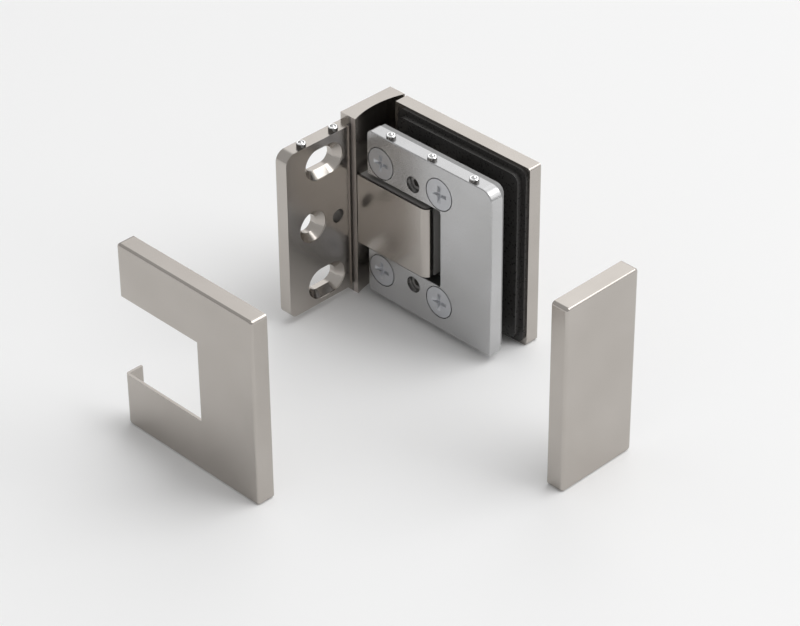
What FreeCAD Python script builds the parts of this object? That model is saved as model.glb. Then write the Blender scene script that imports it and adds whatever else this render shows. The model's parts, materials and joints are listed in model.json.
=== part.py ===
import FreeCAD, Part
import os
import re

import Sketcher

# Glass door hinge, wall to glass, with its two covers taken off.
# X runs from the wall into the door, -Y is the side of the covers, +Z is up.
# The origin lies on the wall plane, at mid height, in line with the middle of the glass.

SIZES = [
    ("hinge_height", 90.0, "flange, back plate and covers"),
    ("plate_height", 82.6, "wall plate and clamp plate"),
    ("flange_depth", 30.0, "flange across the line of the glass"),
    ("flange_tip", 9.1, "flange thickness at its two edges"),
    ("flange_waist", 6.4, "flange thickness in its hollow middle"),
    ("pivot_distance", 42.0, "wall to pivot axis"),
    ("edge_break", 0.4, "bevel of the crisp outer edges"),
    ("wall_plate_reach", 38.3, "wall plate beyond the flange"),
    ("wall_plate_thickness", 6.5, "wall plate"),
    ("wall_plate_corner", 5.0, "upper outer corner of the wall plate"),
    ("wall_plate_low_corner", 3.5, "lower outer corner of the wall plate"),
    ("relief_width", 1.4, "relief groove between the wall plate and the flange"),
    ("relief_depth", 1.5, "depth of that groove"),
    ("wall_hole_radius", 4.5, "clearance for an 8 mm wall screw"),
    ("wall_sink_radius", 7.65, "countersinks of the wall plate at its face"),
    ("wall_sink_rim", 0.45, "straight rim of the countersinks"),
    ("wall_sink_slope", 3.0, "cone of the countersinks, below their rim"),
    ("wall_slot_travel", 6.7, "sideways adjustment in the two slots"),
    ("wall_slot_offset", 16.3, "flange face to the middle of a slot"),
    ("wall_slot_margin", 11.5, "wall plate's upper end to the middle of the upper slot"),
    ("wall_slot_low_margin", 10.0, "wall plate's lower end to the middle of the lower slot"),
    ("wall_mid_offset", 23.7, "flange face to the middle screw hole"),
    ("locating_offset", 8.8, "flange face to the locating hole"),
    ("locating_radius", 3.3, "locating hole"),
    ("locating_drop", 1.2, "mid height down to the locating hole"),
    ("block_start", 10.0, "wall to the near side of the pivot block"),
    ("block_end", 52.0, "wall to the free end of the pivot block"),
    ("block_height", 34.6, "pivot block"),
    ("cap_start", 9.7, "wall to the near edge of the block caps"),
    ("cap_sheet", 0.8, "sheet of the block caps"),
    ("cap_bend", 3.6, "outer bend at the free end of the caps"),
    ("cap_groove", 0.8, "shadow groove between cap and block"),
    ("cap_seat_inset", 1.8, "seat of the cap, in from the block's outline"),
    ("spigot_width", 16.0, "root of the block in the flange"),
    ("spigot_height", 28.0, "root of the block in the flange"),
    ("spigot_depth", 1.4, "pocket of the flange below its hollow face"),
    ("block_screw_height", 10.0, "mid height to a block screw"),
    ("block_screw_radius", 2.5, "shank of the block screws"),
    ("block_screw_head", 5.0, "head of the block screws"),
    ("block_screw_length", 22.0, "block screws"),
    ("pin_radius", 6.0, "pivot pin"),
    ("pin_length", 63.0, "pivot pin"),
    ("pin_flat", 0.5, "depth of the four flats of the pin"),
    ("pin_flat_height", 13.0, "length of the flats"),
    ("running_gap", 0.05, "radial clearance of the pin in its bushes"),
    ("seat_gap", 0.02, "radial clearance of what is pressed or screwed in"),
    ("bush_wall", 1.5, "wall of the two bushes"),
    ("bush_length", 9.5, "length of the two bushes"),
    ("washer_thickness", 0.9, "thrust washers above and below the block"),
    ("washer_radius", 8.5, "thrust washers"),
    ("washer_gap", 0.1, "running gap over the thrust washers"),
    ("shoe_radius", 5.0, "sprung detent shoe"),
    ("shoe_length", 7.0, "sprung detent shoe"),
    ("detent_spring_wall", 1.4, "detent spring"),
    ("detent_plug_length", 4.0, "screwed plug behind the detent spring"),
    ("notch_end", 58.1, "wall to the far side of the notch in both plates"),
    ("notch_height", 38.4, "notch in both plates"),
    ("notch_corner", 1.6, "inner corners of the notches"),
    ("back_start", 10.2, "wall to the near edge of the back plate"),
    ("back_end", 90.1, "wall to the far edge of the back plate"),
    ("back_thickness", 7.1, "back plate"),
    ("back_corner", 1.6, "corners of the back plate"),
    ("front_start", 14.0, "wall to the near edge of the clamp plate"),
    ("front_end", 88.4, "wall to the far edge of the clamp plate"),
    ("front_face", 13.1, "middle of the glass to the clamp plate's face"),
    ("front_thickness", 6.3, "clamp plate"),
    ("front_corner", 6.0, "upper far corner of the clamp plate"),
    ("front_low_corner", 1.5, "lower far corner of the clamp plate"),
    ("front_near_corner", 2.5, "corners of the clamp plate beside the flange"),
    ("glass_thickness", 8.0, "glass between the two gaskets"),
    ("front_gasket_inset", 2.0, "clamp plate's side edges to its gasket"),
    ("front_gasket_drop", 0.4, "clamp plate's top edge to its gasket"),
    ("gasket_notch_gap", 1.0, "notch edges of the plates to their gaskets"),
    ("back_gasket_near", 3.0, "back plate's near edge to its gasket"),
    ("back_gasket_margin", 1.1, "back plate's other edges to its gasket"),
    ("back_gasket_foot", 1.2, "thickness of the gasket's thin rim"),
    ("back_gasket_rim", 2.3, "width of the gasket's thin rim"),
    ("back_gasket_corner", 4.0, "corners of the back gasket"),
    ("clamp_screw_near", 22.4, "wall to the near pair of clamp screws"),
    ("clamp_screw_far", 57.5, "wall to the far pair of clamp screws"),
    ("clamp_screw_height", 27.5, "mid height to the clamp screws"),
    ("clamp_screw_radius", 4.0, "shank of the clamp screws"),
    ("clamp_screw_head", 7.3, "head of the clamp screws"),
    ("clamp_screw_rim", 1.0, "straight rim of the head, above its cone"),
    ("clamp_screw_ring", 0.5, "open ring around the head"),
    ("clamp_screw_length", 25.0, "clamp screws"),
    ("recess_span", 8.6, "cross recess from tip to tip"),
    ("recess_width", 1.9, "width of a recess arm"),
    ("recess_depth", 1.2, "cross recess"),
    ("clamp_hole_gap", 0.5, "clearance around the screw shanks in the clamp plate"),
    ("post_radius", 6.5, "threaded posts of the back plate"),
    ("post_gap", 0.2, "posts and lugs short of the clamp plate"),
    ("sleeve_wall", 0.75, "sleeves that keep the glass off the posts"),
    ("sleeve_gap", 0.1, "sleeves to the gaskets"),
    ("lug_width", 14.8, "pin lugs of both plates"),
    ("lug_top", 33.0, "mid height to the outer end of a lug"),
    ("lug_split", 0.6, "gap between the lugs of the two plates"),
    ("grub_radius", 3.85, "grub screws that hold the pin"),
    ("grub_height", 25.6, "mid height to a grub screw"),
    ("grub_length", 4.5, "grub screws"),
    ("grub_bevel", 0.5, "bevelled outer end of the grub screws"),
    ("grub_socket", 2.3, "hexagon socket, centre to corner"),
    ("grub_socket_depth", 1.9, "hexagon socket"),
    ("cover_sheet", 1.2, "sheet of the two covers"),
    ("cover_depth", 8.3, "depth of the two covers"),
    ("cover_bend", 1.2, "outer bends of the two covers"),
    ("glass_cover_start", 9.8, "wall to the near edge of the glass cover"),
    ("glass_cover_end", 90.1, "wall to the far edge of the glass cover"),
    ("cover_notch_end", 57.0, "wall to the far side of the cover's notch"),
    ("cover_notch_height", 39.0, "notch of the glass cover"),
    ("glass_cover_away", 134.2, "how far the glass cover stands off"),
    ("wall_cover_gap", 0.2, "wall to the fitted wall cover's rim"),
    ("wall_cover_near", 0.5, "flange face to the wall cover"),
    ("wall_cover_width", 41.5, "wall cover"),
    ("wall_cover_lip", 1.8, "depth of the wall cover's lip beside the flange"),
    ("wall_cover_away", 162.4, "how far the wall cover stands off"),
    ("plunger_radius", 1.8, "pressed body of a spring plunger"),
    ("plunger_depth", 4.6, "pressed body of a spring plunger"),
    ("collar_radius", 2.15, "collar of a spring plunger"),
    ("glass_collar_height", 1.6, "collar of a plunger on the clamp plate"),
    ("wall_collar_height", 2.05, "collar of a plunger on the wall plate"),
    ("collar_bevel", 0.3, "bevelled rim of the collar"),
    ("plunger_floor", 1.2, "closed bottom of a plunger's body"),
    ("nose_radius", 1.2, "sprung nose of a plunger"),
    ("glass_nose_stand", 0.8, "nose above its collar on the clamp plate"),
    ("wall_nose_stand", 0.35, "nose above its collar on the wall plate"),
    ("nose_length", 3.4, "sprung nose of a plunger"),
    ("wall_plunger_line", 4.2, "wall to the line of plungers"),
    ("wall_plunger_first", 8.55, "flange face to the first plunger"),
    ("wall_plunger_step", 18.65, "spacing of the plungers on the wall plate"),
    ("glass_plunger_line", 10.5, "middle of the glass to the line of plungers"),
    ("glass_plunger_mid", 51.0, "wall to the middle plunger on the clamp plate"),
    ("glass_plunger_step", 24.6, "spacing of the plungers on the clamp plate"),
]

# Places that several pieces share, as formulas of the sizes.
TOP = "hinge_height / 2"
PLATE_TOP = "plate_height / 2"
FACE = "flange_depth / 2"
WALL_FACE_Y = "-flange_depth / 2"
SAG = "(flange_tip - flange_waist)"
HOLLOW_RADIUS = "((flange_depth / 2) ^ 2 + " + SAG + " ^ 2) / (2 * " + SAG + ")"
BLOCK_TOP = "block_height / 2"
BLOCK_SIDE = "flange_depth / 2 - cap_sheet - cap_groove"
CAP_LIP = "flange_depth / 2 - cap_bend - edge_break"
SHOULDER = CAP_LIP + " - cap_groove"
PIN_BORE = "pin_radius + running_gap + bush_wall"
SPIGOT_END = "flange_waist - spigot_depth"
SHOE_TIP = "pivot_distance - pin_radius - running_gap"
SHOE_TAIL = SHOE_TIP + " - shoe_length"
PLUG_END = SPIGOT_END + " + detent_plug_length"
LUG_FOOT = "block_height / 2 + washer_thickness + washer_gap"
BACK_INNER = "flange_depth / 2 - back_thickness"
FRONT_INNER = "-front_face + front_thickness"
GLASS_FRONT = "-glass_thickness / 2"
GLASS_BACK = "glass_thickness / 2"
NOTCH_TOP = "notch_height / 2"
GASKET_NOTCH_TOP = "notch_height / 2 + gasket_notch_gap"
GASKET_NOTCH_END = "notch_end + gasket_notch_gap"

SIZE_NAMES = {name for name, number, note in SIZES}
UP = FreeCAD.Vector(0, 0, 1)
ALONG_X = FreeCAD.Vector(1, 0, 0)
ALONG_Y = FreeCAD.Vector(0, 1, 0)
TURNS = {
    "+Z": FreeCAD.Rotation(),
    "-Z": FreeCAD.Rotation(ALONG_X, 180),
    "+Y": FreeCAD.Rotation(ALONG_X, -90),
    "-Y": FreeCAD.Rotation(ALONG_X, 90),
    "+X": FreeCAD.Rotation(ALONG_Y, 90),
}
NEAR = 1e-4

doc = FreeCAD.newDocument("glass_door_hinge")
pieces = []


def fill_sheet():
    """Put every driving size in the spreadsheet, one to a row, under its own name."""
    table = doc.addObject("Spreadsheet::Sheet", "Sizes")
    for row, (name, number, note) in enumerate(SIZES, start=1):
        table.set("A%d" % row, name)
        table.set("B%d" % row, str(number))
        table.setAlias("B%d" % row, name)
        table.set("C%d" % row, note)
    doc.recompute()
    return table


def formula(text):
    """Point each size name in a formula at the spreadsheet."""
    return re.sub(r"[a-z_]+", lambda word: "Sizes." + word.group() if word.group() in SIZE_NAMES
                  else word.group(), text)


def bind(thing, path, text):
    thing.setExpression(path, formula(text))


def size(name):
    return float(sheet.get(name))


def new_piece(label):
    """Start the body of one physical piece."""
    body = doc.addObject("PartDesign::Body", label)
    body.Label = label
    pieces.append(body)
    return body


def block(body, kind, name, low, high):
    """Add or cut a box between two corners, each given as three formulas."""
    box = body.newObject("PartDesign::%sBox" % kind, name)
    for axis, side, start, end in zip("xyz", ("Length", "Width", "Height"), low, high):
        bind(box, "Placement.Base.%s" % axis, start)
        bind(box, side, "(%s) - (%s)" % (end, start))
    return box


def place(feature, foot, way):
    feature.Placement = FreeCAD.Placement(FreeCAD.Vector(), TURNS[way])
    for axis, start in zip("xyz", foot):
        bind(feature, "Placement.Base.%s" % axis, start)


def round_bar(body, kind, name, foot, way, radius, length):
    """Add or cut a cylinder from its foot along one axis."""
    bar = body.newObject("PartDesign::%sCylinder" % kind, name)
    place(bar, foot, way)
    bind(bar, "Radius", radius)
    bind(bar, "Height", length)
    return bar


def cone(body, kind, name, foot, way, foot_radius, end_radius, length):
    """Add or cut a cone from its foot along one axis."""
    taper = body.newObject("PartDesign::%sCone" % kind, name)
    place(taper, foot, way)
    bind(taper, "Radius1", foot_radius)
    bind(taper, "Radius2", end_radius)
    bind(taper, "Height", length)
    return taper


def origin_plane(body, role):
    return next(plane for plane in body.Origin.OriginFeatures if plane.Role == role)


def outline(body, role, name, offset, points):
    """Draw a closed outline through points given as pairs of formulas."""
    sketch = body.newObject("Sketcher::SketchObject", name)
    sketch.AttachmentSupport = [(origin_plane(body, role), "")]
    sketch.MapMode = "FlatFace"
    bind(sketch, "AttachmentOffset.Base.z", offset)
    count = len(points)
    rough = [UP.cross(FreeCAD.Rotation(UP, 360.0 * n / count) * ALONG_X) for n in range(count)]
    for n in range(count):
        sketch.addGeometry(Part.LineSegment(rough[n], rough[(n + 1) % count]), False)
    for n in range(count):
        sketch.addConstraint(Sketcher.Constraint("Coincident", n, 2, (n + 1) % count, 1))
    for n, (across, along) in enumerate(points):
        for kind, text, number in (("DistanceX", across, rough[n].x), ("DistanceY", along, rough[n].y)):
            index = sketch.addConstraint(Sketcher.Constraint(kind, -1, 1, n, 1, number))
            bind(sketch, "Constraints[%d]" % index, text)
    return sketch


def pad(body, name, sketch, length):
    """Raise a sketch along its plane's normal."""
    raised = body.newObject("PartDesign::Pad", name)
    raised.Profile = sketch
    bind(raised, "Length", length)
    doc.recompute()
    return raised


def rectangle(left, right, low, high):
    return [(left, low), (right, low), (right, high), (left, high)]


def edge_lies(edge, x=None, y=None, z=None):
    """True for an edge that stays at the coordinates given, wherever it runs otherwise."""
    spots = [vertex.Point for vertex in edge.Vertexes]
    spots.append(edge.valueAt((edge.FirstParameter + edge.LastParameter) / 2))
    for spot in spots:
        for value, wanted in ((spot.x, x), (spot.y, y), (spot.z, z)):
            if wanted is not None and abs(value - wanted) > NEAR:
                return False
    return True


def dress(body, kind, name, amount, test):
    """Round or bevel the edges of the body that pass a test."""
    doc.recompute()
    last = body.Tip
    names = ["Edge%d" % n for n, edge in enumerate(last.Shape.Edges, start=1) if test(edge)]
    feature = body.newObject("PartDesign::%s" % kind, name)
    feature.Base = (last, names)
    bind(feature, "Radius" if kind == "Fillet" else "Size", amount)
    doc.recompute()
    return feature


def make_wall_bracket():
    """One casting: the wall plate, and the hollow-faced flange that carries the pivot block."""
    body = new_piece("wall_bracket")
    flange = outline(body, "YZ_Plane", "flange_outline", "0",
                     rectangle(WALL_FACE_Y, FACE, "-" + TOP, TOP))
    pad(body, "flange", flange, "flange_tip")
    round_bar(body, "Subtractive", "flange_hollow",
              ("flange_waist + " + HOLLOW_RADIUS, "0", "-" + TOP), "+Z", HOLLOW_RADIUS, "hinge_height")
    plate = outline(body, "YZ_Plane", "wall_plate_outline", "0",
                    rectangle(WALL_FACE_Y + " - wall_plate_reach", WALL_FACE_Y,
                              "-" + PLATE_TOP, PLATE_TOP))
    pad(body, "wall_plate", plate, "wall_plate_thickness")
    outer = -size("flange_depth") / 2 - size("wall_plate_reach")
    plate_top = size("plate_height") / 2
    dress(body, "Fillet", "wall_plate_upper_corner", "wall_plate_corner",
          lambda edge: edge_lies(edge, y=outer, z=plate_top))
    dress(body, "Fillet", "wall_plate_lower_corner", "wall_plate_low_corner",
          lambda edge: edge_lies(edge, y=outer, z=-plate_top))
    block(body, "Subtractive", "relief_groove",
          ("wall_plate_thickness - relief_depth", WALL_FACE_Y + " - relief_width", "-" + PLATE_TOP),
          ("wall_plate_thickness", WALL_FACE_Y, PLATE_TOP))
    cut_wall_holes(body)
    block(body, "Subtractive", "block_pocket",
          (SPIGOT_END, "-spigot_width / 2", "-spigot_height / 2"),
          ("flange_tip", "spigot_width / 2", "spigot_height / 2"))
    for name, side in (("upper", ""), ("lower", "-")):
        foot = ("0", "0", side + "block_screw_height")
        round_bar(body, "Subtractive", name + "_block_screw_hole", foot, "+X",
                  "block_screw_radius + seat_gap", "flange_tip")
        cone(body, "Subtractive", name + "_block_screw_sink", foot, "+X",
             "block_screw_head + seat_gap", "block_screw_radius + seat_gap",
             "block_screw_head - block_screw_radius")
    for number, offset in ((1, "wall_plunger_first"), (2, "wall_plunger_first + wall_plunger_step")):
        round_bar(body, "Subtractive", "wall_plunger_hole_%d" % number,
                  ("wall_plunger_line", WALL_FACE_Y + " - (" + offset + ")", PLATE_TOP),
                  "-Z", "plunger_radius + seat_gap", "plunger_depth + seat_gap")


def cut_wall_slot(body, name, foot, height, radius, length):
    """Cut a slot along Y through part of the wall plate's thickness."""
    middle = WALL_FACE_Y + " - wall_slot_offset"
    for end, shift in (("near", " + "), ("far", " - ")):
        round_bar(body, "Subtractive", "%s_%s_end" % (name, end),
                  (foot, middle + shift + "wall_slot_travel / 2", height), "+X", radius, length)
    block(body, "Subtractive", name,
          (foot, middle + " - wall_slot_travel / 2", height + " - " + radius),
          (foot + " + " + length, middle + " + wall_slot_travel / 2", height + " + " + radius))


def cut_wall_holes(body):
    """Two countersunk slots for adjustment, a countersunk middle hole and a locating hole."""
    rim_foot = "wall_plate_thickness - wall_sink_rim"
    for name, side, margin in (("upper", "", "wall_slot_margin"), ("lower", "-", "wall_slot_low_margin")):
        height = side + "(" + PLATE_TOP + " - " + margin + ")"
        cut_wall_slot(body, name + "_slot", "0", height, "wall_hole_radius", "wall_plate_thickness")
        cut_wall_slot(body, name + "_slot_rim", rim_foot, height, "wall_sink_radius", "wall_sink_rim")
    for name, foot, radius, length in (("hole", "0", "wall_hole_radius", "wall_plate_thickness"),
                                       ("hole_rim", rim_foot, "wall_sink_radius", "wall_sink_rim")):
        round_bar(body, "Subtractive", "middle_screw_" + name,
                  (foot, WALL_FACE_Y + " - wall_mid_offset", "0"), "+X", radius, length)
    floor = size("wall_plate_thickness") - size("wall_sink_rim")
    reach = size("wall_hole_radius") + NEAR
    plate_top = size("plate_height") / 2
    middles = (plate_top - size("wall_slot_margin"), 0, size("wall_slot_low_margin") - plate_top)

    def at_a_rim(edge):
        box = edge.BoundBox
        inside = any(box.ZMin > middle - reach and box.ZMax < middle + reach for middle in middles)
        return edge_lies(edge, x=floor) and inside

    dress(body, "Chamfer", "wall_countersinks", "wall_sink_slope", at_a_rim)
    round_bar(body, "Subtractive", "locating_hole",
              ("0", WALL_FACE_Y + " - locating_offset", "-locating_drop"), "+X",
              "locating_radius", "wall_plate_thickness")


def make_pivot_block():
    """The block that the pivot pin runs in, let into the flange by its root."""
    body = new_piece("pivot_block")
    inner_end = "block_end - cap_sheet - cap_groove"
    half = [("block_start", "-(" + BLOCK_SIDE + ")"), (inner_end, "-(" + BLOCK_SIDE + ")"),
            (inner_end, "-(" + SHOULDER + ")"), ("block_end", "-(" + SHOULDER + ")")]
    other = [("block_end", SHOULDER), (inner_end, SHOULDER), (inner_end, BLOCK_SIDE),
             ("block_start", BLOCK_SIDE)]
    plan = outline(body, "XY_Plane", "block_plan", "-" + BLOCK_TOP, half + other)
    pad(body, "block", plan, "block_height")
    end = size("block_end") - size("cap_sheet") - size("cap_groove")
    side = size("flange_depth") / 2 - size("cap_sheet") - size("cap_groove")
    dress(body, "Fillet", "block_end_bends", "cap_bend - cap_sheet - cap_groove",
          lambda edge: edge_lies(edge, x=end, y=side) or edge_lies(edge, x=end, y=-side))
    for name, way, near, far in (("front", -1, BLOCK_SIDE, FACE + " - cap_sheet"),
                                 ("back", 1, BLOCK_SIDE, FACE + " - cap_sheet")):
        low, high = (near, far) if way > 0 else ("-(" + far + ")", "-(" + near + ")")
        block(body, "Additive", name + "_cap_seat",
              ("block_start + cap_seat_inset", low, "-" + BLOCK_TOP + " + cap_seat_inset"),
              ("block_end - cap_bend - cap_seat_inset", high, BLOCK_TOP + " - cap_seat_inset"))
    block(body, "Additive", "spigot",
          (SPIGOT_END, "-spigot_width / 2 + seat_gap", "-spigot_height / 2 + seat_gap"),
          ("block_start", "spigot_width / 2 - seat_gap", "spigot_height / 2 - seat_gap"))
    round_bar(body, "Subtractive", "pin_bore", ("pivot_distance", "0", "-" + BLOCK_TOP), "+Z",
              PIN_BORE + " + seat_gap", "block_height")
    round_bar(body, "Subtractive", "detent_bore", (SPIGOT_END, "0", "0"), "+X",
              "shoe_radius + seat_gap", "pivot_distance - (" + SPIGOT_END + ")")
    for name, side_sign in (("upper", ""), ("lower", "-")):
        round_bar(body, "Subtractive", name + "_root_thread",
                  (SPIGOT_END, "0", side_sign + "block_screw_height"), "+X",
                  "block_screw_radius + seat_gap", "block_screw_length")


def make_block_cap(label, way):
    """Bent sheet cap over one face of the pivot block, rounded over its free end."""
    body = new_piece(label)
    sign = "" if way > 0 else "-"
    outer = sign + "(" + FACE + ")"
    inner = sign + "(" + FACE + " - cap_sheet)"
    lip = sign + "(" + CAP_LIP + ")"
    plan = outline(body, "XY_Plane", label + "_plan", "-" + BLOCK_TOP,
                   [("cap_start", outer), ("block_end", outer), ("block_end", lip),
                    ("block_end - cap_sheet", lip), ("block_end - cap_sheet", inner),
                    ("cap_start", inner)])
    pad(body, label + "_sheet", plan, "block_height")
    face = way * size("flange_depth") / 2
    end = size("block_end")
    sheet_now = size("cap_sheet")
    dress(body, "Fillet", label + "_inner_bend", "cap_bend - cap_sheet",
          lambda edge: edge_lies(edge, x=end - sheet_now, y=face - way * sheet_now))
    dress(body, "Fillet", label + "_outer_bend", "cap_bend",
          lambda edge: edge_lies(edge, x=end, y=face))


def make_block_inside():
    """Bushes, thrust washers, and the detent that holds the door shut and square open."""
    for name, sign, way in (("upper", "", "-Z"), ("lower", "-", "+Z")):
        bush = new_piece(name + "_bush")
        top = ("pivot_distance", "0", sign + BLOCK_TOP)
        round_bar(bush, "Additive", name + "_bush_body", top, way, PIN_BORE, "bush_length")
        round_bar(bush, "Subtractive", name + "_bush_bore", top, way,
                  "pin_radius + running_gap", "bush_length")
        washer = new_piece(name + "_thrust_washer")
        outward = "+Z" if way == "-Z" else "-Z"
        round_bar(washer, "Additive", name + "_washer_disc", top, outward,
                  "washer_radius", "washer_thickness")
        round_bar(washer, "Subtractive", name + "_washer_hole", top, outward,
                  "pin_radius + running_gap", "washer_thickness")
    shoe = new_piece("detent_shoe")
    round_bar(shoe, "Additive", "shoe_body", (SHOE_TAIL, "0", "0"), "+X",
              "shoe_radius - running_gap", "shoe_length")
    round_bar(shoe, "Subtractive", "shoe_spring_seat", (SHOE_TAIL, "0", "0"), "+X",
              "shoe_radius - detent_spring_wall", "shoe_length / 2")
    spring = new_piece("detent_spring")
    spring_length = "(" + SHOE_TAIL + ") - (" + PLUG_END + ")"
    round_bar(spring, "Additive", "spring_body", (PLUG_END, "0", "0"), "+X",
              "shoe_radius - 2 * running_gap", spring_length)
    round_bar(spring, "Subtractive", "spring_bore", (PLUG_END, "0", "0"), "+X",
              "shoe_radius - detent_spring_wall", spring_length)
    plug = new_piece("detent_plug")
    round_bar(plug, "Additive", "plug_body", (SPIGOT_END, "0", "0"), "+X",
              "shoe_radius", "detent_plug_length")


def make_block_screw(label, sign):
    """Countersunk screw from behind the flange into the root of the block."""
    body = new_piece(label)
    height = sign + "block_screw_height"
    cone(body, "Additive", label + "_head", ("0", "0", height), "+X", "block_screw_head",
         "block_screw_radius", "block_screw_head - block_screw_radius")
    round_bar(body, "Additive", label + "_shank",
              ("block_screw_head - block_screw_radius", "0", height), "+X", "block_screw_radius",
              "block_screw_length - block_screw_head + block_screw_radius")
    socket = body.newObject("PartDesign::SubtractivePrism", label + "_socket")
    socket.Polygon = 6
    place(socket, ("0", "0", height), "+X")
    bind(socket, "Circumradius", "grub_socket * 0.75")
    bind(socket, "Height", "grub_socket_depth")


def make_pivot_pin():
    """Pin clamped in the lugs, with four flats for the detent shoe."""
    body = new_piece("pivot_pin")
    round_bar(body, "Additive", "pin", ("pivot_distance", "0", "-pin_length / 2"), "+Z",
              "pin_radius", "pin_length")
    half = "pin_flat_height / 2"
    far = "pin_radius"
    near = "pin_radius - pin_flat"
    for name, low, high in (("far", near, far), ("near", "-(" + far + ")", "-(" + near + ")")):
        block(body, "Subtractive", "flat_x_" + name,
              ("pivot_distance + " + low, "-pin_radius", "-" + half),
              ("pivot_distance + " + high, "pin_radius", half))
        block(body, "Subtractive", "flat_y_" + name,
              ("pivot_distance - pin_radius", low, "-" + half),
              ("pivot_distance + pin_radius", high, half))
    end = size("pin_length") / 2
    dress(body, "Chamfer", "pin_ends", "edge_break",
          lambda edge: edge_lies(edge, z=end) or edge_lies(edge, z=-end))


def cut_notch(body, name, start, top, end, low, high):
    """Cut the notch that the pivot block stands in."""
    block(body, "Subtractive", name, (start, low, "-(" + top + ")"), (end, high, top))


def add_lugs(body, name, near, far):
    """Two lugs that grip the ends of the pin from one side."""
    half = "lug_width / 2"
    for end, sign in (("upper", 1), ("lower", -1)):
        low, high = (LUG_FOOT, "lug_top") if sign > 0 else ("-lug_top", "-(" + LUG_FOOT + ")")
        block(body, "Additive", "%s_%s_lug" % (name, end),
              ("pivot_distance - " + half, near, low), ("pivot_distance + " + half, far, high))


def screw_places():
    """Where the four clamp screws go: a name, then X and Z as formulas."""
    return [("%s_%s" % (end, name), across, sign + "clamp_screw_height")
            for end, sign in (("upper", ""), ("lower", "-"))
            for name, across in (("near", "clamp_screw_near"), ("far", "clamp_screw_far"))]


def make_back_plate():
    """Solid outer plate with the threaded posts and one half of the pin lugs."""
    body = new_piece("back_plate")
    plate = outline(body, "XZ_Plane", "back_plate_outline", "-" + FACE,
                    rectangle("back_start", "back_end", "-" + TOP, TOP))
    pad(body, "back_plate_slab", plate, "back_thickness")
    end = size("back_end")
    top = size("hinge_height") / 2
    dress(body, "Fillet", "back_plate_corners", "back_corner",
          lambda edge: edge_lies(edge, x=end, z=top) or edge_lies(edge, x=end, z=-top))
    outer = size("flange_depth") / 2
    start = size("back_start")
    dress(body, "Chamfer", "back_plate_edges", "edge_break",
          lambda edge: edge_lies(edge, y=outer) or edge_lies(edge, x=start, z=top)
          or edge_lies(edge, x=start, z=-top))
    cut_notch(body, "back_notch", "back_start", NOTCH_TOP, "notch_end", BACK_INNER, FACE)
    notch_end = size("notch_end")
    notch_top = size("notch_height") / 2
    dress(body, "Fillet", "back_notch_corners", "notch_corner",
          lambda edge: edge_lies(edge, x=notch_end, z=notch_top)
          or edge_lies(edge, x=notch_end, z=-notch_top))
    add_lugs(body, "back", "lug_split / 2", BACK_INNER)
    post_front = FRONT_INNER + " + post_gap"
    post_length = "(" + BACK_INNER + ") - (" + post_front + ")"
    for name, across, height in screw_places():
        round_bar(body, "Additive", "post_" + name, (across, post_front, height), "+Y",
                  "post_radius", post_length)
    for name, across, height in screw_places():
        round_bar(body, "Subtractive", "thread_" + name, (across, post_front, height), "+Y",
                  "clamp_screw_radius + seat_gap",
                  "clamp_screw_length - front_thickness - post_gap + edge_break")
    round_bar(body, "Subtractive", "back_pin_seat", ("pivot_distance", "0", "-pin_length / 2 - seat_gap"),
              "+Z", "pin_radius + seat_gap", "pin_length + 2 * seat_gap")


def make_clamp_plate():
    """Inner clamp plate: screws, grub screws, plungers and the other half of the lugs."""
    body = new_piece("front_clamp_plate")
    plate = outline(body, "XZ_Plane", "clamp_plate_outline", "-(" + FRONT_INNER + ")",
                    rectangle("front_start", "front_end", "-" + PLATE_TOP, PLATE_TOP))
    pad(body, "clamp_plate_slab", plate, "front_thickness")
    start, end, top = size("front_start"), size("front_end"), size("plate_height") / 2
    dress(body, "Fillet", "clamp_plate_upper_corner", "front_corner",
          lambda edge: edge_lies(edge, x=end, z=top))
    dress(body, "Fillet", "clamp_plate_lower_corner", "front_low_corner",
          lambda edge: edge_lies(edge, x=end, z=-top))
    dress(body, "Fillet", "clamp_plate_near_corners", "front_near_corner",
          lambda edge: edge_lies(edge, x=start, z=top) or edge_lies(edge, x=start, z=-top))
    cut_notch(body, "clamp_notch", "front_start", NOTCH_TOP, "notch_end", "-front_face", FRONT_INNER)
    notch_end, notch_top = size("notch_end"), size("notch_height") / 2
    dress(body, "Fillet", "clamp_notch_corners", "notch_corner",
          lambda edge: edge_lies(edge, x=notch_end, z=notch_top)
          or edge_lies(edge, x=notch_end, z=-notch_top))
    face = -size("front_face")
    dress(body, "Chamfer", "clamp_plate_edges", "edge_break", lambda edge: edge_lies(edge, y=face))
    add_lugs(body, "front", FRONT_INNER, "-lug_split / 2")
    shank = "clamp_screw_radius + clamp_hole_gap"
    for name, across, height in screw_places():
        foot = (across, "-front_face", height)
        round_bar(body, "Subtractive", "screw_hole_" + name, foot, "+Y", shank, "front_thickness")
        round_bar(body, "Subtractive", "screw_ring_" + name, foot, "+Y",
                  "clamp_screw_head + clamp_screw_ring", "clamp_screw_rim")
        cone(body, "Subtractive", "screw_sink_" + name, (across, "-front_face + clamp_screw_rim", height),
             "+Y", "clamp_screw_head", shank, "clamp_screw_head - (" + shank + ")")
    for name, sign in (("upper", ""), ("lower", "-")):
        round_bar(body, "Subtractive", "grub_hole_" + name,
                  ("pivot_distance", "-front_face", sign + "grub_height"), "+Y",
                  "grub_radius + seat_gap", "front_face")
    round_bar(body, "Subtractive", "front_pin_seat", ("pivot_distance", "0", "-pin_length / 2 - seat_gap"),
              "+Z", "pin_radius + seat_gap", "pin_length + 2 * seat_gap")
    for number in (-1, 0, 1):
        round_bar(body, "Subtractive", "plunger_hole_%d" % (number + 2),
                  ("glass_plunger_mid + %d * glass_plunger_step" % number,
                   "-glass_plunger_line", PLATE_TOP),
                  "-Z", "plunger_radius + seat_gap", "plunger_depth + seat_gap")


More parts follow.
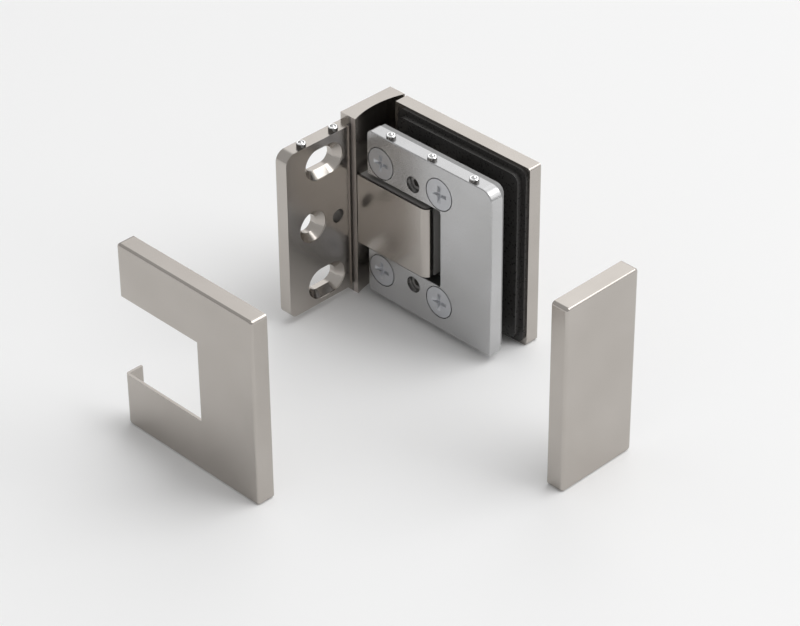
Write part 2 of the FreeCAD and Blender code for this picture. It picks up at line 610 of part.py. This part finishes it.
def cut_gasket(body, name, start, low, high, hole_radius):
    """Cut a gasket clear of the block, the pin lugs and the posts."""
    depth = "(" + high + ") - (" + low + ")"
    cut_notch(body, name + "_notch", start, GASKET_NOTCH_TOP, GASKET_NOTCH_END, low, high)
    half = "(lug_width / 2 + post_gap)"
    cut_notch(body, name + "_lug_window", "pivot_distance - " + half, "lug_top + post_gap",
              "pivot_distance + " + half, low, high)
    for place_name, across, height in screw_places():
        round_bar(body, "Subtractive", "%s_hole_%s" % (name, place_name), (across, low, height), "+Y",
                  hole_radius, depth)


def make_gaskets():
    """Grey gasket behind the clamp plate, and the black one with a thin rim on the back plate."""
    front = new_piece("front_gasket")
    top = PLATE_TOP + " - front_gasket_drop"
    sheet_plan = outline(front, "XZ_Plane", "front_gasket_outline", "-(" + GLASS_FRONT + ")",
                         rectangle("front_start + front_gasket_inset", "front_end - front_gasket_inset",
                                   "-(" + top + ")", top))
    pad(front, "front_gasket_sheet", sheet_plan, "(" + GLASS_FRONT + ") - (" + FRONT_INNER + ")")
    end = size("front_end") - size("front_gasket_inset")
    height = size("plate_height") / 2 - size("front_gasket_drop")
    dress(front, "Fillet", "front_gasket_upper_corner", "front_corner - front_gasket_inset",
          lambda edge: edge_lies(edge, x=end, z=height))
    dress(front, "Fillet", "front_gasket_lower_corner", "front_low_corner",
          lambda edge: edge_lies(edge, x=end, z=-height))
    cut_gasket(front, "front_gasket", "front_start + front_gasket_inset", FRONT_INNER, GLASS_FRONT,
               "post_radius + seat_gap")
    back = new_piece("back_gasket")
    levels = (("foot", "0", BACK_INNER, "back_gasket_foot"),
              ("pad", "back_gasket_rim", BACK_INNER + " - back_gasket_foot",
               "(" + BACK_INNER + ") - back_gasket_foot - (" + GLASS_BACK + ")"))
    for name, inset, behind, thickness in levels:
        start = "back_start + back_gasket_near + " + inset
        end = "back_end - back_gasket_margin - " + inset
        height = TOP + " - back_gasket_margin - " + inset
        plan = outline(back, "XZ_Plane", "back_gasket_%s_outline" % name, "-(" + behind + ")",
                       rectangle(start, end, "-(" + height + ")", height))
        pad(back, "back_gasket_" + name, plan, thickness)
    left = size("back_start") + size("back_gasket_near")
    right = size("back_end") - size("back_gasket_margin")
    high = size("hinge_height") / 2 - size("back_gasket_margin")
    rim = size("back_gasket_rim")

    def at_a_corner(edge):
        return any(edge_lies(edge, x=x, z=z)
                   for inset in (0, rim)
                   for x in (left + inset, right - inset)
                   for z in (high - inset, -high + inset))

    dress(back, "Fillet", "back_gasket_corners", "back_gasket_corner", at_a_corner)
    cut_gasket(back, "back_gasket", "back_start + back_gasket_near", GLASS_BACK, BACK_INNER,
               "post_radius + seat_gap")


def make_clamp_screw(label, across, height):
    """Countersunk screw with a cross recess, its head flush with the clamp plate."""
    body = new_piece(label)
    cone_length = "clamp_screw_head - clamp_screw_radius"
    round_bar(body, "Additive", label + "_rim", (across, "-front_face", height), "+Y",
              "clamp_screw_head", "clamp_screw_rim")
    cone(body, "Additive", label + "_head", (across, "-front_face + clamp_screw_rim", height), "+Y",
         "clamp_screw_head", "clamp_screw_radius", cone_length)
    round_bar(body, "Additive", label + "_shank",
              (across, "-front_face + clamp_screw_rim + " + cone_length, height), "+Y",
              "clamp_screw_radius", "clamp_screw_length - clamp_screw_rim - (" + cone_length + ")")
    for name, wide, deep in (("across", "recess_span", "recess_width"),
                             ("upright", "recess_width", "recess_span")):
        arm = body.newObject("PartDesign::SubtractiveWedge", "%s_recess_%s" % (label, name))
        place(arm, (across, "-front_face", height), "+Z")
        for low, high, width, narrow in (("Xmin", "Xmax", wide, "X2"), ("Zmin", "Zmax", deep, "Z2")):
            bind(arm, low, "-(" + width + ") / 2")
            bind(arm, high, "(" + width + ") / 2")
            bind(arm, narrow + "min", "-(" + width + ") / 4")
            bind(arm, narrow + "max", "(" + width + ") / 4")
        bind(arm, "Ymin", "0")
        bind(arm, "Ymax", "recess_depth")


def make_pin_grub_screw(label, sign):
    """Grub screw deep in the clamp plate, with its hexagon socket, tight on the pin."""
    body = new_piece(label)
    foot = ("pivot_distance", "-pin_radius - grub_length", sign + "grub_height")
    round_bar(body, "Additive", label + "_body", foot, "+Y", "grub_radius", "grub_length")
    outer = -size("pin_radius") - size("grub_length")
    dress(body, "Chamfer", label + "_bevel", "grub_bevel", lambda edge: edge_lies(edge, y=outer))
    socket = body.newObject("PartDesign::SubtractivePrism", label + "_socket")
    socket.Polygon = 6
    place(socket, foot, "+Y")
    bind(socket, "Circumradius", "grub_socket")
    bind(socket, "Height", "grub_socket_depth")


def make_sleeve(label, across, height):
    """Ring that keeps the glass off a post."""
    body = new_piece(label)
    foot = (across, GLASS_FRONT + " + sleeve_gap", height)
    length = "glass_thickness - 2 * sleeve_gap"
    round_bar(body, "Additive", label + "_ring", foot, "+Y", "post_radius + seat_gap + sleeve_wall", length)
    round_bar(body, "Subtractive", label + "_bore", foot, "+Y", "post_radius + seat_gap", length)


def make_glass_cover():
    """Notched push-on cover of the clamp plate, standing off along the plate's normal."""
    body = new_piece("glass_cover")
    front = "-(" + FACE + ") - glass_cover_away"
    rim = front + " + cover_depth"
    plan = outline(body, "XZ_Plane", "glass_cover_outline", "-(" + rim + ")",
                   rectangle("glass_cover_start", "glass_cover_end", "-" + TOP, TOP))
    pad(body, "glass_cover_tray", plan, "cover_depth")
    start, end, top = size("glass_cover_start"), size("glass_cover_end"), size("hinge_height") / 2
    face = -size("flange_depth") / 2 - size("glass_cover_away")
    dress(body, "Fillet", "glass_cover_corners", "cover_bend + edge_break",
          lambda edge: any(edge_lies(edge, x=x, z=z) for x in (start, end) for z in (top, -top)))
    dress(body, "Fillet", "glass_cover_bends", "cover_bend", lambda edge: edge_lies(edge, y=face))
    block(body, "Subtractive", "glass_cover_hollow",
          ("glass_cover_start + cover_sheet", front + " + cover_sheet", "-" + TOP + " + cover_sheet"),
          ("glass_cover_end - cover_sheet", rim, TOP + " - cover_sheet"))
    cut_notch(body, "glass_cover_notch", "glass_cover_start", "cover_notch_height / 2",
              "cover_notch_end", front, rim)


def make_wall_cover():
    """Push-on cover of the wall plate, standing off along the plate's normal."""
    body = new_piece("wall_cover")
    rim = "wall_cover_gap + wall_cover_away"
    near = WALL_FACE_Y + " - wall_cover_near"
    plan = outline(body, "YZ_Plane", "wall_cover_outline", rim,
                   rectangle(near + " - wall_cover_width", near, "-" + TOP, TOP))
    pad(body, "wall_cover_tray", plan, "cover_depth")
    inner = -size("flange_depth") / 2 - size("wall_cover_near")
    outer = inner - size("wall_cover_width")
    top = size("hinge_height") / 2
    mouth = size("wall_cover_gap") + size("wall_cover_away")
    face = mouth + size("cover_depth")
    dress(body, "Fillet", "wall_cover_corners", "cover_bend + edge_break",
          lambda edge: any(edge_lies(edge, y=y, z=z) for y in (inner, outer) for z in (top, -top)))
    dress(body, "Fillet", "wall_cover_bends", "cover_bend", lambda edge: edge_lies(edge, x=face))
    block(body, "Subtractive", "wall_cover_hollow",
          (rim, near + " - wall_cover_width + cover_sheet", "-" + TOP + " + cover_sheet"),
          (rim + " + cover_depth - cover_sheet", near + " - cover_sheet", TOP + " - cover_sheet"))
    block(body, "Subtractive", "wall_cover_lip_cut",
          (rim, near + " - cover_sheet", "-" + TOP + " + cover_sheet"),
          (rim + " + cover_depth - wall_cover_lip", near, TOP + " - cover_sheet"))


def make_plunger(label, across, line, rise, stand):
    """Spring plunger pressed into a plate's top edge: its body with the collar, and its nose."""
    edge = (across, line, PLATE_TOP)
    body = new_piece(label + "_body")
    round_bar(body, "Additive", label + "_barrel", edge, "-Z", "plunger_radius", "plunger_depth")
    round_bar(body, "Additive", label + "_collar", edge, "+Z", "collar_radius", rise)
    rim = size("plate_height") / 2 + size(rise)
    dress(body, "Chamfer", label + "_collar_bevel", "collar_bevel", lambda e: edge_lies(e, z=rim))
    round_bar(body, "Subtractive", label + "_bore", (across, line, PLATE_TOP + " + " + rise), "-Z",
              "nose_radius + running_gap", rise + " + plunger_depth - plunger_floor")
    nose = new_piece(label + "_nose")
    dome = nose.newObject("PartDesign::AdditiveSphere", label + "_dome")
    centre = PLATE_TOP + " + " + rise + " + " + stand + " - nose_radius"
    place(dome, (across, line, centre), "+Z")
    bind(dome, "Radius", "nose_radius")
    dome.Angle1 = 0
    round_bar(nose, "Additive", label + "_stem", (across, line, centre), "-Z",
              "nose_radius", "nose_length - nose_radius")


def make_all_plungers():
    for number, offset in ((1, "wall_plunger_first"), (2, "wall_plunger_first + wall_plunger_step")):
        make_plunger("wall_plunger_top_%d" % number, "wall_plunger_line",
                     WALL_FACE_Y + " - (" + offset + ")", "wall_collar_height", "wall_nose_stand")
    for number in (-1, 0, 1):
        make_plunger("glass_plunger_top_%d" % (number + 2),
                     "glass_plunger_mid + %d * glass_plunger_step" % number,
                     "-glass_plunger_line", "glass_collar_height", "glass_nose_stand")


def check_and_write():
    """Stop on any failed object or bad solid, then write one STEP file to a piece."""
    doc.recompute()
    for thing in doc.Objects:
        if "Invalid" in thing.State or "Error" in thing.State:
            raise RuntimeError("%s failed: %s" % (thing.Name, thing.State))
    for body in pieces:
        if body.Shape.isNull() or not body.Shape.isValid() or not body.Shape.Solids:
            raise RuntimeError("%s has no valid solid" % body.Label)
        if len(body.Shape.Solids) != 1:
            raise RuntimeError("%s has %d solids" % (body.Label, len(body.Shape.Solids)))
    os.makedirs("parts", exist_ok=True)
    for body in pieces:
        body.Shape.exportStep("parts/%s.step" % body.Label)
        print("%-28s %10.2f mm3" % (body.Label, body.Shape.Volume))


sheet = fill_sheet()
make_wall_bracket()
make_pivot_block()
make_block_cap("block_cap_front", -1)
make_block_cap("block_cap_back", 1)
make_block_inside()
make_block_screw("upper_block_screw", "")
make_block_screw("lower_block_screw", "-")
make_pivot_pin()
make_back_plate()
make_clamp_plate()
make_gaskets()
for place_name, across, height in screw_places():
    make_clamp_screw("clamp_screw_" + place_name, across, height)
    make_sleeve("post_sleeve_" + place_name, across, height)
make_pin_grub_screw("upper_pin_grub_screw", "")
make_pin_grub_screw("lower_pin_grub_screw", "-")
make_glass_cover()
make_wall_cover()
make_all_plungers()
check_and_write()
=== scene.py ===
import json
import math

import bpy
from mathutils import Matrix, Vector


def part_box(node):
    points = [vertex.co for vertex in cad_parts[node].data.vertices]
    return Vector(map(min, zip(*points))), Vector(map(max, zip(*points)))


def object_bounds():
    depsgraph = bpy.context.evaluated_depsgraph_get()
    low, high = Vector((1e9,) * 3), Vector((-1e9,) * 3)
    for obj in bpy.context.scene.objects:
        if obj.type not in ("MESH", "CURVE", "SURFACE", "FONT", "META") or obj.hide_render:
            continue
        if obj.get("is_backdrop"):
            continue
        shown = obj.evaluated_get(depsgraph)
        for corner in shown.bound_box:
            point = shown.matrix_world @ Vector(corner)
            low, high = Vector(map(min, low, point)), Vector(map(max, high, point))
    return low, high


# Looks of the glass door hinge: finishes, stage, light and camera.
# All lengths are in metres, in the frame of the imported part. The pieces keep their CAD meshes.

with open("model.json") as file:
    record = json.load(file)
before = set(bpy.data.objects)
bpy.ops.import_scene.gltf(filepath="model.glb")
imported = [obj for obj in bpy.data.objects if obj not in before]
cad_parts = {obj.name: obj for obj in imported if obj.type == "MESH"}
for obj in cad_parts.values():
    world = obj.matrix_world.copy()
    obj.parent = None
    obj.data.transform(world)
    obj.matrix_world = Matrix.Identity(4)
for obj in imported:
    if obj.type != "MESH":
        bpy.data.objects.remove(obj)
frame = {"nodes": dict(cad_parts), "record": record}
low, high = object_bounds()
nodes = frame["nodes"]
mounts = {row["name"]: row for row in frame["record"]["mounts"]}
MM = 0.001


# Building blocks of the finishes

MOST = (0.3, 0.7)  # most of a noise's values lie in this range


def new_finish(name, colour, metallic, roughness):
    """A Principled finish with its own node tree and the object's own coordinates."""
    finish = bpy.data.materials.new(name)
    finish.use_nodes = True
    tree = finish.node_tree
    shader = tree.nodes["Principled BSDF"]
    shader.inputs["Base Color"].default_value = (*colour, 1)
    shader.inputs["Metallic"].default_value = metallic
    shader.inputs["Roughness"].default_value = roughness
    place = tree.nodes.new("ShaderNodeTexCoord")
    return finish, tree, shader, place.outputs["Object"]


def noise(tree, place, scale, detail=2.0, stretch=(1, 1, 1)):
    """Noise in the object's own space; the scale is in waves to a metre."""
    shift = tree.nodes.new("ShaderNodeMapping")
    shift.inputs["Scale"].default_value = stretch
    tree.links.new(place, shift.inputs["Vector"])
    field = tree.nodes.new("ShaderNodeTexNoise")
    field.inputs["Scale"].default_value = scale
    field.inputs["Detail"].default_value = detail
    tree.links.new(shift.outputs["Vector"], field.inputs["Vector"])
    return field.outputs["Fac"]


def spread(tree, value, start, end, low_out=0.0, high_out=1.0):
    """Stretch a value from one range to another, and hold it there."""
    reach = tree.nodes.new("ShaderNodeMapRange")
    reach.inputs["From Min"].default_value = start
    reach.inputs["From Max"].default_value = end
    reach.inputs["To Min"].default_value = low_out
    reach.inputs["To Max"].default_value = high_out
    tree.links.new(value, reach.inputs["Value"])
    return reach.outputs["Result"]


def tint(tree, value, dark, light):
    """Run between two colours by a value."""
    mix = tree.nodes.new("ShaderNodeMix")
    mix.data_type = "RGBA"
    mix.inputs["A"].default_value = (*dark, 1)
    mix.inputs["B"].default_value = (*light, 1)
    tree.links.new(value, mix.inputs["Factor"])
    return mix.outputs["Result"]


def clouded(tree, shader, field, dark, light):
    """Run the finish between two tones by a noise."""
    tree.links.new(tint(tree, spread(tree, field, *MOST), dark, light), shader.inputs["Base Color"])


def uneven(tree, shader, field, roughness, swing, span=MOST):
    """Vary the roughness by a noise."""
    gloss = spread(tree, field, *span, roughness - swing, roughness + swing)
    tree.links.new(gloss, shader.inputs["Roughness"])


def bump(tree, shader, value, strength, depth):
    """Relief on the surface."""
    relief = tree.nodes.new("ShaderNodeBump")
    relief.inputs["Strength"].default_value = strength
    relief.inputs["Distance"].default_value = depth
    tree.links.new(value, relief.inputs["Height"])
    tree.links.new(relief.outputs["Normal"], shader.inputs["Normal"])


# Kinds of finish

def satin(name, dark, light, roughness, swing, grain_depth):
    """Blasted and plated metal: a cloudy tone, uneven gloss and a fine grain."""
    finish, tree, shader, place = new_finish(name, light, 1.0, roughness)
    clouded(tree, shader, noise(tree, place, scale=45.0, detail=3.0), dark, light)
    grain = noise(tree, place, scale=2600.0)
    uneven(tree, shader, grain, roughness, swing, span=(0.25, 0.75))
    bump(tree, shader, grain, strength=0.25, depth=grain_depth)
    return finish


def turned(name, colour, roughness):
    """Turned steel: fine rings round the piece and a slight unevenness of gloss."""
    finish, tree, shader, place = new_finish(name, colour, 1.0, roughness)
    rings = noise(tree, place, scale=1500.0, stretch=(1, 1, 0.2))
    uneven(tree, shader, rings, roughness, swing=0.06)
    bump(tree, shader, rings, strength=0.2, depth=0.01 * MM)
    return finish


def chrome_with_painted_shade(name, side, top, roughness):
    """Plunger chrome with painted shade: the sides are painted dark, and the tone is bright where the
    surface looks up.
    """
    finish, tree, shader, place = new_finish(name, top, 1.0, roughness)
    surface = tree.nodes.new("ShaderNodeNewGeometry")
    normal = tree.nodes.new("ShaderNodeSeparateXYZ")
    tree.links.new(surface.outputs["Normal"], normal.inputs["Vector"])
    # painted shade: the colour runs from dark on the sides to bright as the surface turns to face up
    lit_facing_up = spread(tree, normal.outputs["Z"], 0.15, 0.45)
    tree.links.new(tint(tree, lit_facing_up, side, top), shader.inputs["Base Color"])
    uneven(tree, shader, noise(tree, place, scale=700.0), roughness, swing=0.03)
    return finish


def painted(name, dark, light, roughness):
    """Thick dull paint on a casting: a cloudy tone and a fine orange-peel skin."""
    finish, tree, shader, place = new_finish(name, light, 0.0, roughness)
    clouded(tree, shader, noise(tree, place, scale=60.0, detail=3.0), dark, light)
    skin = noise(tree, place, scale=1800.0)
    uneven(tree, shader, skin, roughness, swing=0.05)
    bump(tree, shader, skin, strength=0.2, depth=0.02 * MM)
    return finish


def soft_sheet(name, dark, light, roughness):
    """Rubber or soft plastic with a dull, slightly pitted skin."""
    finish, tree, shader, place = new_finish(name, light, 0.0, roughness)
    skin = noise(tree, place, scale=900.0, detail=4.0)
    clouded(tree, shader, skin, dark, light)
    uneven(tree, shader, skin, roughness, swing=0.08)
    bump(tree, shader, skin, strength=0.3, depth=0.04 * MM)
    return finish


NICKEL = dict(dark=(0.465, 0.433, 0.400), light=(0.500, 0.468, 0.435),
              roughness=0.22, swing=0.05, grain_depth=0.018 * MM)
LOOKS = {
    "satin_nickel": (satin, NICKEL),
    "grey_metal": (painted, dict(dark=(0.27, 0.26, 0.25), light=(0.32, 0.31, 0.30), roughness=0.50)),
    "satin_aluminium": (satin, dict(dark=(0.51, 0.51, 0.51), light=(0.55, 0.55, 0.555),
                                    roughness=0.26, swing=0.04, grain_depth=0.008 * MM)),
    "bush_bronze": (turned, dict(colour=(0.60, 0.42, 0.20), roughness=0.30)),
    "washer_plastic": (soft_sheet, dict(dark=(0.62, 0.60, 0.54), light=(0.72, 0.70, 0.64), roughness=0.45)),
    "inner_steel": (turned, dict(colour=(0.50, 0.50, 0.51), roughness=0.32)),
    "grey_gasket": (soft_sheet, dict(dark=(0.24, 0.24, 0.24), light=(0.30, 0.30, 0.30), roughness=0.50)),
    "black_gasket": (soft_sheet, dict(dark=(0.026, 0.025, 0.024), light=(0.040, 0.038, 0.036),
                                      roughness=0.32)),
    "screw_steel": (satin, dict(dark=(0.55, 0.56, 0.58), light=(0.62, 0.63, 0.66),
                                roughness=0.38, swing=0.05, grain_depth=0.01 * MM)),
    "grub_steel": (turned, dict(colour=(0.30, 0.29, 0.28), roughness=0.35)),
    # the plungers get painted shade on their sides
    "bright_chrome": (chrome_with_painted_shade, dict(side=(0.16, 0.155, 0.15), top=(0.85, 0.85, 0.85), roughness=0.14)),
}
finishes = {name: make(name, **look) for name, (make, look) in LOOKS.items()}


# Places on the part with painted shade and painted light in their tone

def reckon(tree, operation, *values):
    """One step of arithmetic on sockets and numbers."""
    step = tree.nodes.new("ShaderNodeMath")
    step.operation = operation
    for slot, value in zip(step.inputs, values):
        if isinstance(value, (int, float)):
            slot.default_value = value
        else:
            tree.links.new(value, slot)
    return step.outputs["Value"]


def within(tree, value, start, end):
    """1 where a value lies between two others, and 0 elsewhere."""
    return reckon(tree, "COMPARE", value, (start + end) / 2, (end - start) / 2)


def both(tree, first, second):
    """1 where two masks are 1."""
    return reckon(tree, "MULTIPLY", first, second)


def off_middle(tree, value, middle, half):
    """How far a value lies from the nearer of two places, each a half span from the middle."""
    away = reckon(tree, "ABSOLUTE", reckon(tree, "SUBTRACT", value, middle))
    return reckon(tree, "SUBTRACT", away, half)


def object_axes(finish):
    """The finish's node tree, and the object's own X, Y and Z as sockets."""
    tree = finish.node_tree
    split = tree.nodes.new("ShaderNodeSeparateXYZ")
    tree.links.new(tree.nodes.new("ShaderNodeTexCoord").outputs["Object"], split.inputs["Vector"])
    return tree, split.outputs["X"], split.outputs["Y"], split.outputs["Z"]


def overlay(finish, mask, tone, roughness):
    """Give the masked region of a finish another tone, which here is painted shade and painted light, and
    its own roughness.
    """
    tree = finish.node_tree
    shader = tree.nodes["Principled BSDF"]
    for socket, there in (("Base Color", tone), ("Roughness", (roughness,) * 3)):
        mix = tree.nodes.new("ShaderNodeMix")
        mix.data_type = "RGBA"
        mix.inputs["B"].default_value = (*there, 1)
        tree.links.new(shader.inputs[socket].links[0].from_socket, mix.inputs["A"])
        tree.links.new(mask, mix.inputs["Factor"])
        tree.links.new(mix.outputs["Result"], shader.inputs[socket])


# The locating hole runs from the back of the wall plate to its face, and the flange is even about Y 0.
HOLE = mounts["locating_hole"]
HOLE_Y, HOLE_Z = HOLE["pos_m"][1:]
HOLE_RADIUS = HOLE["dims"]["r_mm"] * MM
PLATE_FACE = HOLE["dims"]["length_mm"] * MM
FLANGE_FACE = -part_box("wall_bracket")[1][1]
GROOVE_DEPTH, GROOVE_WIDTH = 1.5 * MM, 1.4 * MM
STRIP_WIDTH = 2.4 * MM
NOTCH_END, NOTCH_TOP = 58.1 * MM, 19.2 * MM
RING_WIDTH = 0.4 * MM

# Painted light: the strip beside the groove gets a lighter tone that stands in for the light it catches,
# and a duller roughness.
STRIP_PAINTED_LIGHT, STRIP_ROUGHNESS = (0.60, 0.55, 0.52), 0.55
# Painted shade: a darker tone in the groove.
GROOVE_PAINTED_SHADE = (0.34, 0.32, 0.30)
# Painted shade: a darker tone in the locating bore.
BORE_PAINTED_SHADE = (0.16, 0.15, 0.14)
# Painted shade: dark lines in the gaps round the clamp screw heads and along the walls of the notch.
GAP_PAINTED_SHADE = (0.10, 0.10, 0.10)
CUT_ROUGHNESS = 0.5


def machined_nickel():
    """Satin nickel of the wall bracket, with painted shade and a rougher finish in its groove and bore, and
    painted light and a rougher finish on the strip beside the groove.
    """
    finish = satin("machined_nickel", **NICKEL)
    tree, x, y, z = object_axes(finish)
    strip = both(tree, within(tree, x, PLATE_FACE - 0.1 * MM, PLATE_FACE + STRIP_WIDTH),
                 within(tree, y, FLANGE_FACE - 0.02 * MM, FLANGE_FACE + 0.02 * MM))
    groove = both(tree, within(tree, x, PLATE_FACE - GROOVE_DEPTH - 0.1 * MM, PLATE_FACE - 0.1 * MM),
                  within(tree, y, FLANGE_FACE - GROOVE_WIDTH - 0.4 * MM, FLANGE_FACE + 0.1 * MM))
    reach = HOLE_RADIUS + 0.2 * MM
    bore = both(tree, within(tree, x, 0.3 * MM, PLATE_FACE - 0.4 * MM),
                both(tree, within(tree, y, HOLE_Y - reach, HOLE_Y + reach),
                     within(tree, z, HOLE_Z - reach, HOLE_Z + reach)))
    overlay(finish, strip, STRIP_PAINTED_LIGHT, STRIP_ROUGHNESS)
    overlay(finish, groove, GROOVE_PAINTED_SHADE, CUT_ROUGHNESS)
    overlay(finish, bore, BORE_PAINTED_SHADE, CUT_ROUGHNESS)
    return finish


def paint_shade_round_screw_heads(finish):
    """Painted shade: dark lines in the gaps where the heads of the four clamp screws meet the plate."""
    near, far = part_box("clamp_screw_upper_near"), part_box("clamp_screw_upper_far")
    near_x, far_x = (near[0][0] + near[1][0]) / 2, (far[0][0] + far[1][0]) / 2
    screw_z = (near[0][2] + near[1][2]) / 2
    head = (near[1][0] - near[0][0]) / 2
    tree, x, y, z = object_axes(finish)
    across = off_middle(tree, x, (near_x + far_x) / 2, (far_x - near_x) / 2)
    up = off_middle(tree, z, 0.0, screw_z)
    square = reckon(tree, "ADD", reckon(tree, "MULTIPLY", across, across),
                    reckon(tree, "MULTIPLY", up, up))
    ring = within(tree, reckon(tree, "SQRT", square), head + 0.05 * MM, head + RING_WIDTH)
    overlay(finish, ring, GAP_PAINTED_SHADE, CUT_ROUGHNESS)


def paint_shade_in_notch(finish):
    """Painted shade: dark walls of the clamp plate's notch, round the block."""
    tree, x, y, z = object_axes(finish)
    height = reckon(tree, "ABSOLUTE", z)
    low_x, high_x = NOTCH_END - 0.4 * MM, NOTCH_END + 0.2 * MM
    low_z, high_z = NOTCH_TOP - 0.3 * MM, NOTCH_TOP + 0.2 * MM
    level = both(tree, within(tree, height, low_z, high_z), within(tree, x, 0.0, high_x))
    upright = both(tree, within(tree, x, low_x, high_x), within(tree, height, 0.0, high_z))
    overlay(finish, reckon(tree, "MAXIMUM", level, upright), GAP_PAINTED_SHADE, CUT_ROUGHNESS)


paint_shade_round_screw_heads(finishes["satin_aluminium"])
paint_shade_round_screw_heads(finishes["screw_steel"])
paint_shade_in_notch(finishes["satin_aluminium"])

for part in frame["record"]["subparts"]:
    piece = nodes[part["node"]]
    piece.data.materials.clear()
    piece.data.materials.append(finishes[part["material_slot"]])
nodes["wall_bracket"].data.materials[0] = machined_nickel()


# Stage

FLOOR = low[2]
FLOOR_HALF = 6.0


def make_floor():
    """Plain pale floor under the hinge, far larger than the view."""
    finish, tree, shader, place = new_finish("floor_white", (0.90, 0.90, 0.90), 0.0, 0.9)
    shader.inputs["Specular IOR Level"].default_value = 0.1
    mesh = bpy.data.meshes.new("floor")
    corners = [(across * FLOOR_HALF, along * FLOOR_HALF, FLOOR)
               for across, along in ((-1, -1), (1, -1), (1, 1), (-1, 1))]
    mesh.from_pydata(corners, [], [(0, 1, 2, 3)])
    floor = bpy.data.objects.new("floor", mesh)
    bpy.context.scene.collection.objects.link(floor)
    floor.data.materials.append(finish)
    floor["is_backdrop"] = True


make_floor()


# Light

MIDDLE = Vector((0.06, -0.02, 0.0))  # what the lamps point at
LAMP_DISTANCE = 4.1
# Name, direction from the middle, size and power of each lamp.
LAMPS = (
    ("key", (0.38, 0.37, 0.85), 3.0, 75.0),
    ("right_fill", (0.75, 0.45, 0.48), 2.1, 15.0),
    ("back_fill", (0.30, 0.80, 0.52), 2.1, 8.5),
)
# The room's even light, and the wall that adds to it: its direction, the cosine at which its light
# starts, and how much it adds in its middle.
ROOM = 0.53
WALL, WALL_START, WALL_GLOW = (-0.35, 0.75, 0.56), 0.85, 1.12


def soft_box(name, direction, size, power):
    """Square area light in a direction from the hinge, turned to it."""
    lamp = bpy.data.lights.new(name, "AREA")
    lamp.shape = "SQUARE"
    lamp.size = size
    lamp.energy = power
    holder = bpy.data.objects.new(name, lamp)
    away = Vector(direction).normalized()
    holder.location = MIDDLE + LAMP_DISTANCE * away
    holder.rotation_euler = (-away).to_track_quat("-Z", "Y").to_euler()
    bpy.context.scene.collection.objects.link(holder)


def make_world():
    """Pale room of even light, with a brighter patch behind the hinge."""
    world = bpy.data.worlds.new("room")
    bpy.context.scene.world = world
    world.use_nodes = True
    tree = world.node_tree
    background = tree.nodes["Background"]
    background.inputs["Color"].default_value = (1, 1, 1, 1)
    aim = tree.nodes.new("ShaderNodeVectorMath")
    aim.operation = "DOT_PRODUCT"
    aim.inputs[1].default_value = Vector(WALL).normalized()
    tree.links.new(tree.nodes.new("ShaderNodeTexCoord").outputs["Generated"], aim.inputs[0])
    light = spread(tree, aim.outputs["Value"], WALL_START, 1.0, ROOM, ROOM + WALL_GLOW)
    tree.links.new(light, background.inputs["Strength"])


make_world()
for lamp_row in LAMPS:
    soft_box(*lamp_row)


# Camera

PHOTO_WIDTH = 800
SENSOR_WIDTH = 36
FOCAL_PIXELS = 2955.743
AZIMUTH, ELEVATION, ROLL = math.radians(45.533), math.radians(34.695), math.radians(-0.5007)
CAMERA_PLACE = Vector((0.79715, -0.76270, 0.69602))


def make_camera():
    """The photograph's camera: fitted place, direction, roll and focal length."""
    back = Vector((math.sin(AZIMUTH) * math.cos(ELEVATION), -math.cos(AZIMUTH) * math.cos(ELEVATION),
                   math.sin(ELEVATION)))
    level = Vector((math.cos(AZIMUTH), math.sin(AZIMUTH), 0))
    upright = back.cross(level)
    right = math.cos(ROLL) * level + math.sin(ROLL) * upright
    up = -math.sin(ROLL) * level + math.cos(ROLL) * upright
    lens = bpy.data.cameras.new("camera")
    lens.sensor_width = SENSOR_WIDTH
    lens.lens = FOCAL_PIXELS / PHOTO_WIDTH * SENSOR_WIDTH
    lens.clip_start = 0.05
    lens.clip_end = 50
    camera = bpy.data.objects.new("camera", lens)
    turn = Matrix((right, up, back)).transposed().to_4x4()
    camera.matrix_world = Matrix.Translation(CAMERA_PLACE) @ turn
    bpy.context.scene.collection.objects.link(camera)
    bpy.context.scene.camera = camera


make_camera()
bpy.context.scene.view_settings.view_transform = "Standard"

low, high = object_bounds()
